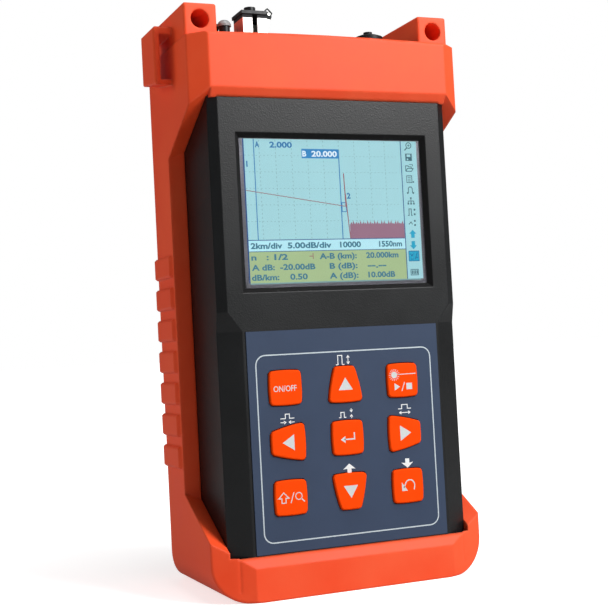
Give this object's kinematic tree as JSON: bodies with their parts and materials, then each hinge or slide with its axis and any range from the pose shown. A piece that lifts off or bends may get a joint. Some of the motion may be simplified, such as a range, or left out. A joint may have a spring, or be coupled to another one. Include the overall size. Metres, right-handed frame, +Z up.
{
  "type": "optical time domain reflectometer",
  "caption": "Handheld fibre optic test set: black case in an orange rubber boot, colour display above an orange keypad, capped ports on top.",
  "frame": {"origin": "centre of the bounding box's footprint, on the surface that the boot stands on", "axes": "+Z up the case, -Y out of the display, +X to the right as the display is read"},
  "size_m": [0.123, 0.068, 0.2208],
  "materials": {
    "boot_rubber": "satin moulded rubber",
    "case_plastic": "satin black",
    "seal_rubber": "matte",
    "pack_wrap": "shrink wrap",
    "sheet_steel": "rolled",
    "panel_glass": "lit display",
    "clear_lens": "clear",
    "white_plastic": "matte",
    "overlay_film": "printed film",
    "board": "solder mask",
    "module_can": "plain",
    "nickel": "nickel plate",
    "zirconia": "polished",
    "lid_plastic": "moulded",
    "cap_plastic": "moulded",
    "steel": "plain",
    "plug_rubber": "moulded",
    "key_rubber": "silicone"
  },
  "bodies": {
    "case": {"boot": "boot_rubber", "front_shell": "case_plastic", "rear_shell": "case_plastic", "shell_seal": "seal_rubber", "battery_cover": "case_plastic", "battery_pack": "pack_wrap", "display_frame": "sheet_steel", "display_glass": "panel_glass", "display_lens": "clear_lens", "display_light": "white_plastic", "keypad_overlay": "overlay_film", "keypad_mat": "seal_rubber", "keypad_board": "board", "main_board": "board", "optical_module": "module_can", "fibre_tray": "white_plastic", "buzzer": "case_plastic", "connector_panel": "case_plastic", "sc_sleeve": "nickel", "ferrule_holder": "nickel", "ferrule_sleeve": "zirconia", "lid_pin": "steel", "lid_spring": "steel", "vfl_barrel": "nickel", "vfl_hinge_ring": "lid_plastic", "vfl_pin": "steel", "power_socket": "lid_plastic", "case_screw_1": "steel", "case_screw_2": "steel", "case_screw_3": "steel", "case_screw_4": "steel", "cover_screw_1": "steel", "cover_screw_2": "steel", "sc_screw_1": "steel", "sc_screw_2": "steel"},
    "port_lid": {"sc_lid": "lid_plastic"},
    "round_cap": {"vfl_cap": "cap_plastic"},
    "plug": {"power_plug": "plug_rubber"},
    "key_power_body": {"key_power": "key_rubber"},
    "key_up_body": {"key_up": "key_rubber"},
    "key_run_body": {"key_run": "key_rubber"},
    "key_left_body": {"key_left": "key_rubber"},
    "key_enter_body": {"key_enter": "key_rubber"},
    "key_right_body": {"key_right": "key_rubber"},
    "key_shift_body": {"key_shift": "key_rubber"},
    "key_down_body": {"key_down": "key_rubber"},
    "key_back_body": {"key_back": "key_rubber"}
  },
  "joints": [
    {"name": "key_power_press", "type": "slide", "parent": "case", "child": "key_power_body", "axis": [0, 1, 0], "range_m": [0, 0.0006], "stiffness_N_per_m": 900},
    {"name": "key_up_press", "type": "slide", "parent": "case", "child": "key_up_body", "axis": [0, 1, 0], "range_m": [0, 0.0006], "stiffness_N_per_m": 900},
    {"name": "key_run_press", "type": "slide", "parent": "case", "child": "key_run_body", "axis": [0, 1, 0], "range_m": [0, 0.0006], "stiffness_N_per_m": 900},
    {"name": "key_left_press", "type": "slide", "parent": "case", "child": "key_left_body", "axis": [0, 1, 0], "range_m": [0, 0.0006], "stiffness_N_per_m": 900},
    {"name": "key_enter_press", "type": "slide", "parent": "case", "child": "key_enter_body", "axis": [0, 1, 0], "range_m": [0, 0.0006], "stiffness_N_per_m": 900},
    {"name": "key_right_press", "type": "slide", "parent": "case", "child": "key_right_body", "axis": [0, 1, 0], "range_m": [0, 0.0006], "stiffness_N_per_m": 900},
    {"name": "key_shift_press", "type": "slide", "parent": "case", "child": "key_shift_body", "axis": [0, 1, 0], "range_m": [0, 0.0006], "stiffness_N_per_m": 900},
    {"name": "key_down_press", "type": "slide", "parent": "case", "child": "key_down_body", "axis": [0, 1, 0], "range_m": [0, 0.0006], "stiffness_N_per_m": 900},
    {"name": "key_back_press", "type": "slide", "parent": "case", "child": "key_back_body", "axis": [0, 1, 0], "range_m": [0, 0.0006], "stiffness_N_per_m": 900},
    {"name": "port_lid_hinge", "type": "hinge", "parent": "case", "child": "port_lid", "pos_m": [-0.0175, -0.013, 0.21775], "axis": [0, 1, 0], "range_deg": [0, 100], "stiffness_Nm_per_rad": 0.002},
    {"name": "round_cap_hinge", "type": "hinge", "parent": "case", "child": "round_cap", "pos_m": [-0.0343, -0.0085, 0.214], "axis": [-1, 0, 0], "range_deg": [0, 110]},
    {"name": "plug_pull", "type": "slide", "parent": "case", "child": "plug", "axis": [0, 0, 1], "range_m": [0, 0.015]}
  ]
}
